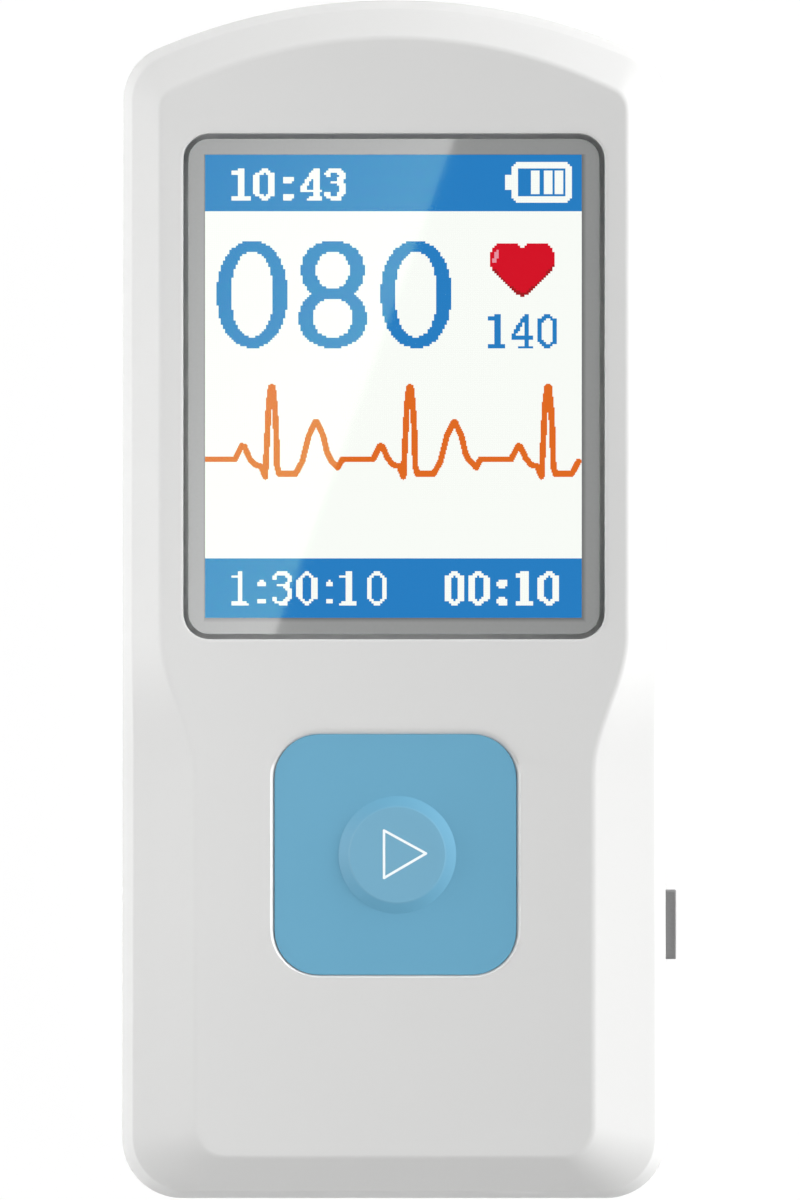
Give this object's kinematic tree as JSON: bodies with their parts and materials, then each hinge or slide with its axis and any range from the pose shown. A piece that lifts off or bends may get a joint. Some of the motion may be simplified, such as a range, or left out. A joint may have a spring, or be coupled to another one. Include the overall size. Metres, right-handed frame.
{
  "type": "ecg monitor",
  "caption": "Hand-held ECG monitor: waisted, bevelled grey housing with a colour screen, a large square blue key, steel electrodes on its back and a rubber port cover on its side.",
  "frame": {"origin": "middle of the flat back face, which the monitor rests on", "axes": "+Z out of the screen, +Y towards the arched top end, +X to the user's right"},
  "size_m": [0.0463, 0.1, 0.0153],
  "materials": {
    "housing_plastic": "fine satin, moulded",
    "key_plastic": "satin blue, moulded",
    "clear_acrylic": "clear and polished, a little reflection",
    "screen_glass": "display glass",
    "grey_rubber": "matt grey",
    "grey_foam": "matt grey foam",
    "board_green": "solder resist",
    "black_plastic": "moulded black",
    "white_plastic": "moulded white",
    "steel": "plain steel",
    "electrode_steel": "brushed stainless",
    "gold_plate": "gold-plated spring leaf",
    "foil": "pouch foil",
    "amber_film": "amber film",
    "red_sleeve": "red sleeve"
  },
  "bodies": {
    "housing": {"front_cover": "housing_plastic", "rear_cover": "housing_plastic", "screen_lens": "clear_acrylic", "lens_tape": "grey_foam", "screen_gasket": "grey_foam", "lcd_glass": "screen_glass", "lcd_frame": "white_plastic", "lcd_flex": "amber_film", "flex_connector": "black_plastic", "tact_switch_body": "black_plastic", "tact_switch_dome": "steel", "main_pcb": "board_green", "battery": "foil", "battery_foam": "grey_foam", "battery_socket": "white_plastic", "battery_lead_positive": "red_sleeve", "battery_lead_negative": "black_plastic", "charging_socket_shell": "steel", "charging_socket_tongue": "black_plastic", "finger_electrode_left": "electrode_steel", "finger_electrode_right": "electrode_steel", "palm_electrode": "electrode_steel", "contact_spring_left": "gold_plate", "contact_spring_right": "gold_plate", "contact_spring_palm": "gold_plate", "buzzer": "black_plastic", "processor_chip": "black_plastic", "amplifier_chip": "black_plastic", "case_screw_upper_left": "steel", "case_screw_upper_right": "steel", "case_screw_lower_left": "steel", "case_screw_lower_right": "steel"},
    "main_button": {"main_button": "key_plastic"},
    "switch_plunger": {"tact_switch_plunger": "white_plastic"},
    "port_cover": {"port_cover": "grey_rubber"}
  },
  "joints": [
    {"name": "key_press", "type": "slide", "parent": "housing", "child": "main_button", "axis": [0, 0, -1], "range_m": [0, 0.0004], "stiffness_N_per_m": 2000},
    {"name": "plunger_press", "type": "slide", "parent": "housing", "child": "switch_plunger", "axis": [0, 0, -1], "range_m": [0, 0.00045]},
    {"name": "port_cover_pull", "type": "slide", "parent": "housing", "child": "port_cover", "axis": [1, 0, 0], "range_m": [0, 0.007]}
  ],
  "couplings": [
    {"joint": "plunger_press", "follows": "key_press", "ratio": 1}
  ]
}
